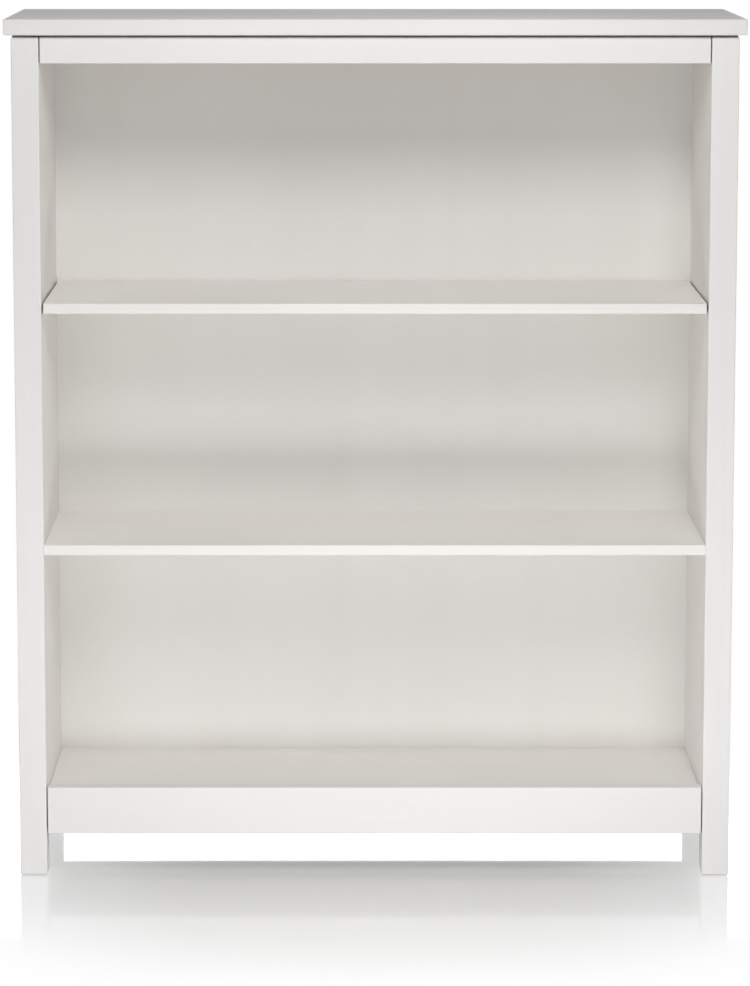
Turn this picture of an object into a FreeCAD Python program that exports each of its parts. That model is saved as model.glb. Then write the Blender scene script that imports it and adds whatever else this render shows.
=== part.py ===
"""A white open bookcase: posts, panels, rails, shelves and the fittings that join them.

Millimetres, +Z up, front towards -Y, origin on the floor under the middle of the whole object.
"""

import FreeCAD, Part
import os
import re
from collections import namedtuple

import Sketcher

# Driving dimensions
SIZES = {
    # Carcass posts
    "case_width": 897,
    "case_depth": 295,
    "post_length": 1057.5,
    "post_width": 34,
    "post_depth": 40,
    "frame_ease": 1.5,
    # Top board and the shadow gap under it
    "top_thickness": 20,
    "top_side_overhang": 8.5,
    "top_front_overhang": 10,
    "top_ease": 2,
    "reveal_gap": 3,
    "packer_inset": 6,
    "packer_side_inset": 1.5,
    # Side panels, tongued into the posts and flush with their inner faces
    "side_panel_thickness": 18,
    "tongue_thickness": 8,
    "tongue_length": 6,
    "groove_spare": 0.5,
    # Thin back, held in grooves of the rear posts
    "back_panel_inset": 9,
    "back_panel_thickness": 4,
    "back_panel_drop": 40,
    "back_groove_depth": 8,
    # Rails between the posts
    "front_rail_thickness": 20,
    "rear_rail_thickness": 15,
    "header_height": 32,
    "apron_height": 60,
    "apron_clearance": 54.5,
    "rear_rail_height": 60,
    "rail_end_gap": 1.2,
    # Shelves
    "shelf_thickness": 13,
    "shelf_setback": 2,
    "shelf_ease": 1,
    "upper_shelf_height": 729.5,
    "upper_shelf_end_gap": 2.2,
    "upper_shelf_back_gap": 2,
    "middle_shelf_height": 425,
    "apron_lip": 10.5,
    # Battens under the top and under the bottom board
    "cleat_depth": 20,
    "cleat_height": 20,
    "cleat_end_gap": 52,
    "cleat_ease": 0.6,
    # Room around every fastener
    "bore_clearance": 0.1,
    "bore_spare": 1,
    # Dowels in the rail ends
    "rail_dowel_radius": 4,
    "rail_dowel_length": 35,
    "rail_dowel_spread": 18,
    "header_dowel_inset": 7,
    "dowel_chamfer": 0.8,
    # Dowels in the ends of the fixed shelves
    "shelf_dowel_radius": 3,
    "shelf_dowel_length": 28,
    "shelf_dowel_seat": 10,
    "shelf_dowel_inset": 45,
    # Cam bolts and cam locks
    "bolt_thread_radius": 3,
    "bolt_thread_length": 11,
    "bolt_shank_radius": 2.5,
    "bolt_neck_radius": 1.6,
    "bolt_neck_length": 4,
    "bolt_head_radius": 3.2,
    "bolt_head_length": 3,
    "cam_setback": 34,
    "cam_radius": 7.5,
    "cam_height": 12,
    "cam_mouth_radius": 3.8,
    "cam_slot_length": 9,
    "cam_slot_width": 1.6,
    "cam_slot_depth": 2,
    "header_cam_inset": 11,
    # Wood screws
    "screw_radius": 2,
    "screw_bite": 10,
    "screw_tip_length": 4,
    "screw_head_radius": 3.6,
    "screw_head_height": 2.2,
    "screw_crown": 0.7,
    "screw_slot_width": 1,
    "screw_slot_depth": 1.2,
    "board_screw_inset": 160,
    "cleat_screw_inset": 60,
    # Shelf pins and their holes
    "pin_radius": 2.5,
    "pin_seat": 9,
    "pin_collar_radius": 4,
    "pin_collar_thickness": 1.2,
    "pin_paddle_length": 9,
    "pin_paddle_width": 10,
    "pin_seat_gap": 0.2,
    "pin_inset": 30,
    "pin_pitch": 32,
    # Nail-on glides under the legs
    "glide_radius": 10,
    "glide_height": 1.5,
    "glide_ease": 0.6,
    "glide_nail_radius": 1.5,
    "glide_nail_length": 14,
    # Anti-tip strap brackets
    "bracket_inset": 163.3,
    "bracket_drop": 25,
    "bracket_width": 30,
    "bracket_height": 24,
    "bracket_thickness": 2,
    "bracket_tab": 11,
    "bracket_eye_radius": 2.5,
    "bracket_eye_inset": 4.5,
    "bracket_screw_spread": 9,
    "bracket_screw_radius": 1.5,
    "bracket_screw_length": 12,
    "bracket_screw_head": 2.9,
}

# Counts
PIN_ROWS = (-2, -1, 0, 1, 2)
SCREW_COLUMNS = (-1, 0, 1)

# Places worked out from the sizes
PLACES = {
    "front_y": "top_front_overhang - (case_depth + top_front_overhang) / 2",
    "rear_y": "front_y + case_depth",
    "post_inner_x": "case_width / 2 - post_width",
    "panel_front_y": "front_y + post_depth",
    "panel_rear_y": "rear_y - post_depth",
    "post_top_z": "glide_height + post_length",
    "top_under_z": "post_top_z + reveal_gap",
    "back_face_y": "panel_rear_y + back_panel_inset",
    "back_rear_y": "back_face_y + back_panel_thickness",
    "rail_half_x": "post_inner_x - rail_end_gap",
    "cleat_half_x": "post_inner_x - cleat_end_gap",
    "rail_rear_y": "front_y + front_rail_thickness",
    "bottom_shelf_z": "apron_clearance + apron_height - apron_lip",
    "back_low_z": "bottom_shelf_z - back_panel_drop",
    "bottom_under_z": "bottom_shelf_z - shelf_thickness",
    "upper_under_z": "upper_shelf_height - shelf_thickness",
    "pin_axis_z": "upper_under_z - pin_seat_gap - pin_radius",
    "tongue_x": "post_inner_x + (side_panel_thickness - tongue_thickness) / 2",
    "bracket_x": "rail_half_x - bracket_inset",
    "bracket_y": "back_rear_y + rear_rail_thickness",
    "bracket_z": "post_top_z - bracket_drop - bracket_height",
}

HOLDERS = {name: "sizes" for name in SIZES} | {name: "places" for name in PLACES}
SIDES = {"left": -1, "right": 1}
INWARD = {"left": "right", "right": "left"}

# How a piece that is made along +Z, with +X as its upper side, is turned to point each way
TURNS = {
    "up": FreeCAD.Rotation(),
    "right": FreeCAD.Rotation(FreeCAD.Vector(1, 0, 1), 180),
    "left": FreeCAD.Rotation(FreeCAD.Vector(0, 1, 0), -90),
    "back": FreeCAD.Rotation(FreeCAD.Vector(1, 0, 0), -90),
    "back_mirrored": FreeCAD.Rotation(FreeCAD.Vector(0, 1, 1), 180),
    "front": FreeCAD.Rotation(FreeCAD.Vector(1, 0, 0), 90),
}

doc = FreeCAD.newDocument("bookcase")


def expression(text):
    """Writes each size or place in the text with the sheet that holds it."""
    return re.sub(r"[a-z][a-z_]+", lambda word: f"{HOLDERS[word.group()]}.{word.group()}", text)


def fill_sheet(label, cells):
    """A spreadsheet with a name in column A and the aliased value beside it."""
    sheet = doc.addObject("Spreadsheet::Sheet", label)
    for row, (name, content) in enumerate(cells.items(), start=1):
        sheet.set(f"A{row}", name)
        sheet.set(f"B{row}", content)
        sheet.setAlias(f"B{row}", name)
    doc.recompute()
    return sheet


sizes = fill_sheet("sizes", {name: str(size) for name, size in SIZES.items()})
formulas = {name: "=" + expression(text).replace("places.", "") for name, text in PLACES.items()}
places = fill_sheet("places", formulas)


def value(text):
    """The present value of an expression."""
    return float(sizes.evalExpression(expression(text)))


def bind(thing, path, text):
    """Ties a property to an expression of sizes and places."""
    thing.setExpression(path, expression(text))


def place(thing, point, turn="up"):
    """Turns a piece, and ties its position to three expressions."""
    thing.Placement = FreeCAD.Placement(FreeCAD.Vector(), TURNS[turn])
    for axis, text in zip("xyz", point):
        bind(thing, f"Placement.Base.{axis}", text)


def outline(body, role, points):
    """A closed sketch on one of the body's own planes, with each corner tied to two expressions."""
    sketch = body.newObject("Sketcher::SketchObject", body.Name + "_outline")
    plane = next(feature for feature in body.Origin.OriginFeatures if feature.Role == role)
    sketch.AttachmentSupport = (plane, [""])
    sketch.MapMode = "FlatFace"
    corners = [FreeCAD.Vector(value(across), value(along), 0) for across, along in points]
    count = len(corners)
    for index, corner in enumerate(corners):
        sketch.addGeometry(Part.LineSegment(corner, corners[(index + 1) % count]))
    for index in range(count):
        sketch.addConstraint(Sketcher.Constraint("Coincident", index, 2, (index + 1) % count, 1))
    for index, (across, along) in enumerate(points):
        for kind, axis_line, text in (("DistanceX", -2, across), ("DistanceY", -1, along)):
            if text == "0":
                sketch.addConstraint(Sketcher.Constraint("PointOnObject", index, 1, axis_line))
            else:
                number = sketch.addConstraint(Sketcher.Constraint(kind, -1, 1, index, 1, value(text)))
                bind(sketch, f"Constraints[{number}]", text)
    return sketch


def padded(name, role, points, length):
    """A body made by padding an outline."""
    body = doc.addObject("PartDesign::Body", name)
    sketch = outline(body, role, points)
    pad = body.newObject("PartDesign::Pad", name + "_pad")
    pad.Profile = sketch
    bind(pad, "Length", length)
    doc.recompute()
    return body


def board(name, size, corner, ease=None):
    """A board from its lowest corner, with every edge eased."""
    width, depth, height = size
    points = [("0", "0"), (width, "0"), (width, depth), ("0", depth)]
    body = padded(name, "XY_Plane", points, height)
    if ease:
        pad = body.Tip
        rounding = body.newObject("PartDesign::Fillet", name + "_ease")
        rounding.Base = (pad, [""])
        rounding.UseAllEdges = True
        bind(rounding, "Radius", ease)
    place(body, corner)
    return body


def turned(name, points):
    """A body turned about its own Z axis from an outline of radius and height."""
    body = doc.addObject("PartDesign::Body", name)
    sketch = outline(body, "XZ_Plane", points)
    revolution = body.newObject("PartDesign::Revolution", name + "_turning")
    revolution.Profile = sketch
    revolution.ReferenceAxis = (sketch, ["V_Axis"])
    revolution.Angle = 360
    doc.recompute()
    return body


def block(name, size, corner):
    """A plain box, used as a cutter or as part of a fitting."""
    box = doc.addObject("Part::Box", name)
    for path, text in zip(("Length", "Width", "Height"), size):
        bind(box, path, text)
    place(box, corner)
    return box


def rod(name, radius, length, point=("0", "0", "0"), turn="up"):
    """A plain cylinder, used as a cutter or as part of a fitting."""
    cylinder = doc.addObject("Part::Cylinder", name)
    bind(cylinder, "Radius", radius)
    bind(cylinder, "Height", length)
    place(cylinder, point, turn)
    return cylinder


def fused(name, pieces):
    """Several solids made one."""
    fuse = doc.addObject("Part::MultiFuse", name)
    fuse.Shapes = pieces
    return fuse


def cut(name, blank, cutters):
    """A blank with cutters taken away."""
    result = doc.addObject("Part::Cut", name)
    result.Base = blank
    result.Tool = cutters[0] if len(cutters) == 1 else fused(name + "_cutters", cutters)
    return result


def group(name, master, spots):
    """Copies of one master at many spots, kept as separate solids."""
    links = []
    for number, (point, turn) in enumerate(spots):
        link = doc.addObject("App::Link", f"{name}_{number}")
        link.LinkedObject = master
        place(link, point, turn)
        links.append(link)
    compound = doc.addObject("Part::Compound", name)
    compound.Links = links
    return compound


nodes = []


def node(label, piece):
    """Names a finished piece and puts it on the list to write."""
    piece.Label = label
    nodes.append(piece)
    return piece


# Rails: where each lies and where its fittings sit
Rail = namedtuple("Rail", "low_y thickness low_z height bolt_z dowel_z")


def tall_rail(low_y, thickness, low_z, height):
    """A rail with a cam bolt in the middle of each end and a dowel above and below it."""
    middle = f"{low_z} + {height} / 2"
    dowels = (f"{middle} - rail_dowel_spread", f"{middle} + rail_dowel_spread")
    return Rail(low_y, thickness, low_z, height, middle, dowels)


header_low_z = "post_top_z - header_height"
RAILS = {
    "header_rail": Rail(
        "front_y",
        "front_rail_thickness",
        header_low_z,
        "header_height",
        f"{header_low_z} + header_cam_inset",
        ("post_top_z - header_dowel_inset",),
    ),
    "bottom_apron": tall_rail("front_y", "front_rail_thickness", "apron_clearance", "apron_height"),
    "rear_top_rail": tall_rail(
        "back_rear_y", "rear_rail_thickness", "post_top_z - rear_rail_height", "rear_rail_height"
    ),
    "rear_bottom_rail": tall_rail(
        "back_rear_y", "rear_rail_thickness", "apron_clearance", "rear_rail_height"
    ),
}


# Wooden dowels
def dowel(name, radius, length):
    """A dowel with chamfered ends."""
    narrow = f"{radius} - dowel_chamfer"
    points = [("0", "0"), (narrow, "0"), (radius, "dowel_chamfer")]
    points += [(radius, f"{length} - dowel_chamfer"), (narrow, length), ("0", length)]
    return turned(name, points)


rail_dowel_spots, rail_dowel_bore_spots = [], []
bolt_spots, bolt_bore_spots, cam_spots, cam_pocket_spots = [], [], [], []
for rail in RAILS.values():
    for side, sign in SIDES.items():
        inward = INWARD[side]
        middle_y = f"{rail.low_y} + {rail.thickness} / 2"
        for dowel_z in rail.dowel_z:
            start_x = f"{sign} * (post_inner_x + rail_dowel_length / 2)"
            bore_x = f"{sign} * (post_inner_x + rail_dowel_length / 2 + bore_spare)"
            rail_dowel_spots.append(((start_x, middle_y, dowel_z), inward))
            rail_dowel_bore_spots.append(((bore_x, middle_y, dowel_z), inward))
        rear_face_y = f"{rail.low_y} + {rail.thickness}"
        bolt_y = f"{rear_face_y} - cam_height / 2"
        bolt_spots.append(((f"{sign} * (post_inner_x + bolt_thread_length)", bolt_y, rail.bolt_z), inward))
        bore_x = f"{sign} * (post_inner_x + bolt_thread_length + bore_spare)"
        bolt_bore_spots.append(((bore_x, bolt_y, rail.bolt_z), inward))
        cam_turn = "back" if sign > 0 else "back_mirrored"
        cam_x = f"{sign} * (rail_half_x - cam_setback)"
        cam_spots.append(((cam_x, f"{rear_face_y} - cam_height", rail.bolt_z), cam_turn))
        pocket_y = f"{rear_face_y} - cam_height - bore_clearance"
        cam_pocket_spots.append(((cam_x, pocket_y, rail.bolt_z), cam_turn))

rail_dowel = dowel("rail_dowel", "rail_dowel_radius", "rail_dowel_length")
rail_dowel_bore = rod(
    "rail_dowel_bore", "rail_dowel_radius + bore_clearance", "rail_dowel_length + 2 * bore_spare"
)
node("rail_dowels", group("rail_dowels", rail_dowel, rail_dowel_spots))
rail_dowel_bores = group("rail_dowel_bores", rail_dowel_bore, rail_dowel_bore_spots)

shelf_dowel_spots, shelf_dowel_bore_spots = [], []
for shelf_z in ("middle_shelf_height", "bottom_shelf_z"):
    for side, sign in SIDES.items():
        for dowel_y in ("panel_front_y + shelf_dowel_inset", "panel_rear_y - shelf_dowel_inset"):
            dowel_z = f"{shelf_z} - shelf_thickness / 2"
            start_x = f"{sign} * (post_inner_x + shelf_dowel_seat)"
            bore_x = f"{sign} * (post_inner_x + shelf_dowel_seat + bore_spare)"
            shelf_dowel_spots.append(((start_x, dowel_y, dowel_z), INWARD[side]))
            shelf_dowel_bore_spots.append(((bore_x, dowel_y, dowel_z), INWARD[side]))

shelf_dowel = dowel("shelf_dowel", "shelf_dowel_radius", "shelf_dowel_length")
shelf_dowel_bore = rod(
    "shelf_dowel_bore", "shelf_dowel_radius + bore_clearance", "shelf_dowel_length + 2 * bore_spare"
)
node("shelf_dowels", group("shelf_dowels", shelf_dowel, shelf_dowel_spots))
shelf_dowel_bores = group("shelf_dowel_bores", shelf_dowel_bore, shelf_dowel_bore_spots)

# Cam bolts: a threaded end in the post, a shank, and a head on a thin neck inside the cam
bolt_neck_z = "bolt_thread_length + rail_end_gap + cam_setback - bolt_neck_length"
bolt_head_z = f"{bolt_neck_z} + bolt_neck_length"
bolt_end_z = f"{bolt_head_z} + bolt_head_length"
cam_bolt = turned(
    "cam_bolt",
    [
        ("0", "0"),
        ("bolt_thread_radius", "0"),
        ("bolt_thread_radius", "bolt_thread_length"),
        ("bolt_shank_radius", "bolt_thread_length"),
        ("bolt_shank_radius", bolt_neck_z),
        ("bolt_neck_radius", bolt_neck_z),
        ("bolt_neck_radius", bolt_head_z),
        ("bolt_head_radius", bolt_head_z),
        ("bolt_head_radius", bolt_end_z),
        ("0", bolt_end_z),
    ],
)
cam_bolt_bore = turned(
    "cam_bolt_bore",
    [
        ("0", "0"),
        ("bolt_thread_radius + bore_clearance", "0"),
        ("bolt_thread_radius + bore_clearance", "bolt_thread_length + bore_spare"),
        ("bolt_head_radius + bore_clearance", "bolt_thread_length + bore_spare"),
        ("bolt_head_radius + bore_clearance", f"{bolt_end_z} + 2 * bore_spare"),
        ("0", f"{bolt_end_z} + 2 * bore_spare"),
    ],
)
node("cam_bolts", group("cam_bolts", cam_bolt, bolt_spots))
cam_bolt_bores = group("cam_bolt_bores", cam_bolt_bore, bolt_bore_spots)

# Cam locks: a disc with a mouth for the bolt's head and a cross slot in its outer face
cam_mouth = rod(
    "cam_mouth",
    "cam_mouth_radius",
    "cam_radius + bolt_head_length + bore_spare",
    ("-(bolt_head_length + bore_spare)", "0", "cam_height / 2"),
    "right",
)
cam_slot_z = "cam_height - cam_slot_depth"
cam_slots = [
    block(
        f"cam_slot_{number}",
        (across, along, "cam_slot_depth"),
        (f"-({across}) / 2", f"-({along}) / 2", cam_slot_z),
    )
    for number, (across, along) in enumerate(
        (("cam_slot_length", "cam_slot_width"), ("cam_slot_width", "cam_slot_length"))
    )
]
cam_lock = cut("cam_lock", rod("cam_disc", "cam_radius", "cam_height"), [cam_mouth, *cam_slots])
cam_pocket = rod("cam_pocket", "cam_radius + bore_clearance", "cam_height + bore_clearance + bore_spare")
node("cam_locks", group("cam_locks", cam_lock, cam_spots))
cam_pockets = group("cam_pockets", cam_pocket, cam_pocket_spots)


# Wood screws: a slotted crowned head that sits on the face, a shank and a point
def screw(name, radius, length, head_radius):
    """A screw with its head's underside at z = 0 of a shank that runs up to its point."""
    points = [("0", "0"), (f"{head_radius} - screw_crown", "0"), (head_radius, "screw_crown")]
    points += [(head_radius, "screw_head_height"), (radius, "screw_head_height")]
    tip_z = f"screw_head_height + {length}"
    points += [(radius, f"{tip_z} - screw_tip_length"), ("0", tip_z)]
    blank = turned(name + "_blank", points)
    slot_size = (f"2 * {head_radius}", "screw_slot_width", "screw_slot_depth")
    slot_corner = (f"-({head_radius})", "-screw_slot_width / 2", "0")
    return cut(name, blank, [block(name + "_slot", slot_size, slot_corner)])


def screwed(name, radius, length, head_radius, spots):
    """Makes a group of screws whose heads sit on the spots, and returns the bores that take them."""
    master = screw(name + "_master", radius, length, head_radius)
    bore = rod(name + "_bore", f"{radius} + bore_clearance", f"{length} + bore_spare")
    offsets = {"up": (2, "-"), "back": (1, "-"), "front": (1, "+")}
    seated = []
    for point, turn in spots:
        axis, sense = offsets[turn]
        point = list(point)
        point[axis] = f"{point[axis]} {sense} screw_head_height"
        seated.append((tuple(point), turn))
    node(name, group(name, master, seated))
    return group(name + "_bores", bore, spots)


front_cleat_y = "rail_rear_y + cleat_depth / 2"
rear_cleat_y = "back_face_y - cleat_depth / 2"
top_cleat_z = "top_under_z - cleat_height"
bottom_cleat_z = "bottom_under_z - cleat_height"


def upward_spots(low_z):
    """Screws driven up through the front and rear cleats of one level."""
    return [
        ((f"{column} * (cleat_half_x - board_screw_inset)", cleat_y, low_z), "up")
        for cleat_y in (front_cleat_y, rear_cleat_y)
        for column in SCREW_COLUMNS
    ]


cleat_screw_spots = []
for low_z in (top_cleat_z, bottom_cleat_z):
    for sign in SIDES.values():
        screw_x = f"{sign} * (cleat_half_x - cleat_screw_inset)"
        screw_z = f"{low_z} + cleat_height / 2"
        cleat_screw_spots.append(((screw_x, "rail_rear_y + cleat_depth", screw_z), "front"))
        cleat_screw_spots.append(((screw_x, "back_face_y - cleat_depth", screw_z), "back"))


def wood_screws(name, wood_thickness, spots):
    """Wood screws that pass through a thickness of wood and bite into the piece behind it."""
    return screwed(name, "screw_radius", f"{wood_thickness} + screw_bite", "screw_head_radius", spots)


top_screw_bores = wood_screws("top_screws", "cleat_height", upward_spots(top_cleat_z))
bottom_screw_bores = wood_screws("bottom_screws", "cleat_height", upward_spots(bottom_cleat_z))
cleat_screw_bores = wood_screws("cleat_screws", "cleat_depth", cleat_screw_spots)

# Nail-on glides
glide = turned(
    "glide",
    [
        ("0", "0"),
        ("glide_radius - glide_ease", "0"),
        ("glide_radius", "glide_ease"),
        ("glide_radius", "glide_height"),
        ("glide_nail_radius", "glide_height"),
        ("glide_nail_radius", "glide_height + glide_nail_length"),
        ("0", "glide_height + glide_nail_length"),
    ],
)
post_rows = {"front": "front_y", "rear": "rear_y - post_depth"}
glide_nail_bores = {}
for row, low_y in post_rows.items():
    for side, sign in SIDES.items():
        spot = (f"{sign} * (case_width / 2 - post_width / 2)", f"{low_y} + post_depth / 2", "0")
        name = f"foot_glide_{row}_{side}"
        node(name, group(name, glide, [(spot, "up")]))
        glide_nail_bores[row, side] = rod(
            name + "_bore",
            "glide_nail_radius + bore_clearance",
            "glide_height + glide_nail_length + bore_spare",
            spot,
        )

# Corner posts, grooved for the side panels and the back
post_bores = [rail_dowel_bores, cam_bolt_bores]
for row, low_y in post_rows.items():
    for side, sign in SIDES.items():
        name = f"{row}_post_{side}"
        low_x = "post_inner_x" if sign > 0 else "-case_width / 2"
        blank = board(
            name + "_blank",
            ("post_width", "post_depth", "post_length"),
            (low_x, low_y, "glide_height"),
            "frame_ease",
        )
        groove_x = "tongue_x" if sign > 0 else "-tongue_x - tongue_thickness"
        groove_y = "panel_front_y - tongue_length - groove_spare" if row == "front" else "panel_rear_y"
        cutters = [
            block(
                name + "_panel_groove",
                ("tongue_thickness", "tongue_length + groove_spare", "post_top_z - apron_clearance"),
                (groove_x, groove_y, "apron_clearance"),
            ),
            glide_nail_bores[row, side],
        ]
        if row == "rear":
            back_groove_x = "post_inner_x" if sign > 0 else "-post_inner_x - back_groove_depth"
            cutters.append(
                block(
                    name + "_back_groove",
                    ("back_groove_depth", "back_panel_thickness", "post_top_z - back_low_z"),
                    (back_groove_x, "back_face_y", "back_low_z"),
                )
            )
        node(name, cut(name, blank, cutters + post_bores))

# Shelf pins: a pin, a collar against the panel and a flat paddle under the shelf
pin_turning = turned(
    "pin_turning",
    [
        ("0", "0"),
        ("pin_radius", "0"),
        ("pin_radius", "pin_seat"),
        ("pin_collar_radius", "pin_seat"),
        ("pin_collar_radius", "pin_seat + pin_collar_thickness"),
        ("0", "pin_seat + pin_collar_thickness"),
    ],
)
collar_trim = block(
    "collar_trim",
    ("pin_collar_radius", "2 * pin_collar_radius", "pin_collar_thickness"),
    ("pin_radius", "-pin_collar_radius", "pin_seat"),
)
pin_paddle = block(
    "pin_paddle",
    ("pin_radius", "pin_paddle_width", "pin_paddle_length"),
    ("0", "-pin_paddle_width / 2", "pin_seat + pin_collar_thickness"),
)
shelf_pin = fused("shelf_pin", [cut("pin_stem", pin_turning, [collar_trim]), pin_paddle])
pin_columns = ("panel_front_y + pin_inset", "panel_rear_y - pin_inset")
pin_spots = [
    ((f"{sign} * (post_inner_x + pin_seat)", pin_y, "pin_axis_z"), INWARD[side])
    for side, sign in SIDES.items()
    for pin_y in pin_columns
]
node("shelf_pins", group("shelf_pins", shelf_pin, pin_spots))

# Side panels, with rows of pin holes
pin_hole = rod("pin_hole", "pin_radius + bore_clearance", "pin_seat + 2 * bore_spare")
for side, sign in SIDES.items():
    name = f"side_panel_{side}"
    low_x = "post_inner_x" if sign > 0 else "-post_inner_x - side_panel_thickness"
    panel = board(
        name + "_board",
        ("side_panel_thickness", "panel_rear_y - panel_front_y", "top_under_z - apron_clearance"),
        (low_x, "panel_front_y", "apron_clearance"),
        "frame_ease",
    )
    tongue = block(
        name + "_tongue",
        (
            "tongue_thickness",
            "panel_rear_y - panel_front_y + 2 * tongue_length",
            "post_top_z - apron_clearance - groove_spare",
        ),
        (
            "tongue_x" if sign > 0 else "-tongue_x - tongue_thickness",
            "panel_front_y - tongue_length",
            "apron_clearance",
        ),
    )
    hole_spots = [
        (
            (
                f"{sign} * (post_inner_x + pin_seat + bore_spare)",
                pin_y,
                f"pin_axis_z + {step} * pin_pitch",
            ),
            INWARD[side],
        )
        for step in PIN_ROWS
        for pin_y in pin_columns
    ]
    pin_holes = group(name + "_pin_holes", pin_hole, hole_spots)
    blank = fused(name + "_blank", [panel, tongue])
    node(name, cut(name, blank, [shelf_dowel_bores, pin_holes]))

# Strap brackets: an upright plate on the rear top rail and a tab with an eye
bracket_screw_spots = []
for side, sign in SIDES.items():
    for step in SIDES.values():
        spot = (
            f"{sign} * bracket_x + {step} * bracket_screw_spread",
            "bracket_y + bracket_thickness",
            "bracket_z + (bracket_height + bracket_thickness) / 2",
        )
        bracket_screw_spots.append((spot, "front"))
bracket_screw_bores = screwed(
    "bracket_screws", "bracket_screw_radius", "bracket_screw_length", "bracket_screw_head", bracket_screw_spots
)
bracket_profile = [
    ("0", "0"),
    ("bracket_tab", "0"),
    ("bracket_tab", "bracket_thickness"),
    ("bracket_thickness", "bracket_thickness"),
    ("bracket_thickness", "bracket_height"),
    ("0", "bracket_height"),
]
for side, sign in SIDES.items():
    name = f"strap_bracket_{side}"
    angle = padded(name + "_angle", "YZ_Plane", bracket_profile, "bracket_width")
    place(angle, (f"{sign} * bracket_x - bracket_width / 2", "bracket_y", "bracket_z"))
    eye = rod(
        name + "_eye",
        "bracket_eye_radius",
        "bracket_thickness + 2 * bore_spare",
        (
            f"{sign} * bracket_x",
            "bracket_y + bracket_tab - bracket_eye_inset",
            "bracket_z - bore_spare",
        ),
    )
    node(name, cut(name, angle, [eye, bracket_screw_bores]))

# Rails
rail_bores = [rail_dowel_bores, cam_bolt_bores, cam_pockets, cleat_screw_bores, bracket_screw_bores]
for name, rail in RAILS.items():
    blank = board(
        name + "_blank",
        ("2 * rail_half_x", rail.thickness, rail.height),
        ("-rail_half_x", rail.low_y, rail.low_z),
        "frame_ease",
    )
    node(name, cut(name, blank, rail_bores))

# Cleats behind the front rails and in front of the back
for row, low_y in {"front": "rail_rear_y", "rear": "back_face_y - cleat_depth"}.items():
    for level, low_z in {"top": top_cleat_z, "bottom": bottom_cleat_z}.items():
        name = f"{row}_{level}_cleat"
        blank = board(
            name + "_blank",
            ("2 * cleat_half_x", "cleat_depth", "cleat_height"),
            ("-cleat_half_x", low_y, low_z),
            "cleat_ease",
        )
        upward_bores = top_screw_bores if level == "top" else bottom_screw_bores
        node(name, cut(name, blank, [upward_bores, cleat_screw_bores]))

# Back panel
back_half_x = "post_inner_x + back_groove_depth - groove_spare"
back_blank = board(
    "back_panel_blank",
    (f"2 * ({back_half_x})", "back_panel_thickness", "post_top_z - back_low_z"),
    (f"-({back_half_x})", "back_face_y", "back_low_z"),
)
node("back_panel", cut("back_panel", back_blank, [cleat_screw_bores]))

# Shelves
upper_half_x = "post_inner_x - upper_shelf_end_gap"
upper_shelf = board(
    "upper_shelf_board",
    (
        f"2 * ({upper_half_x})",
        "back_face_y - front_y - shelf_setback - upper_shelf_back_gap",
        "shelf_thickness",
    ),
    (f"-({upper_half_x})", "front_y + shelf_setback", "upper_under_z"),
    "shelf_ease",
)
node("upper_shelf", upper_shelf)
middle_blank = board(
    "middle_shelf_blank",
    ("2 * post_inner_x", "back_face_y - front_y - shelf_setback", "shelf_thickness"),
    ("-post_inner_x", "front_y + shelf_setback", "middle_shelf_height - shelf_thickness"),
    "shelf_ease",
)
node("middle_shelf", cut("middle_shelf", middle_blank, [shelf_dowel_bores]))
bottom_blank = board(
    "bottom_shelf_blank",
    ("2 * post_inner_x", "back_face_y - rail_rear_y", "shelf_thickness"),
    ("-post_inner_x", "rail_rear_y", "bottom_under_z"),
    "shelf_ease",
)
node("bottom_shelf", cut("bottom_shelf", bottom_blank, [shelf_dowel_bores, bottom_screw_bores]))

# Packers that keep the shadow gap open, set back from the faces that show
post_packer = block(
    "post_packer",
    ("post_width - packer_side_inset", "post_depth - packer_inset", "reveal_gap"),
    ("0", "0", "0"),
)
packer_spots = [
    (("post_inner_x" if sign > 0 else "-case_width / 2 + packer_side_inset", low_y, "post_top_z"), "up")
    for low_y in ("front_y + packer_inset", "panel_rear_y")
    for sign in SIDES.values()
]
node("post_packers", group("post_packers", post_packer, packer_spots))
header_packer = block(
    "header_packer",
    ("2 * rail_half_x", "front_rail_thickness - packer_inset", "reveal_gap"),
    ("-rail_half_x", "front_y + packer_inset", "post_top_z"),
)
node("header_packer", header_packer)

# Top board
top_blank = board(
    "top_panel_blank",
    ("case_width + 2 * top_side_overhang", "case_depth + top_front_overhang", "top_thickness"),
    ("-case_width / 2 - top_side_overhang", "front_y - top_front_overhang", "top_under_z"),
    "top_ease",
)
node("top_panel", cut("top_panel", top_blank, [top_screw_bores]))

doc.recompute()

# Check every object, then write one file for each piece
for thing in doc.Objects:
    if "Invalid" in thing.State or "Error" in thing.State:
        raise RuntimeError(f"{thing.Label} failed: {thing.State}")
for piece in nodes:
    if piece.Shape.isNull() or not piece.Shape.isValid():
        raise RuntimeError(f"{piece.Label} has no valid shape")
os.makedirs("parts", exist_ok=True)
for piece in nodes:
    piece.Shape.exportStep(f"parts/{piece.Label}.step")
    print(piece.Label, len(piece.Shape.Solids), round(piece.Shape.Volume, 1))
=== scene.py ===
"""Looks of a white open bookcase: paint, wood and metal finishes, fine fittings, and a plain studio.

Metres, +Z up, front towards -Y, origin on the floor under the middle of the object.
"""

from __future__ import annotations

import logging
import math
from dataclasses import dataclass
from enum import Enum

import bmesh
import bpy
from mathutils import Matrix, Vector


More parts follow.
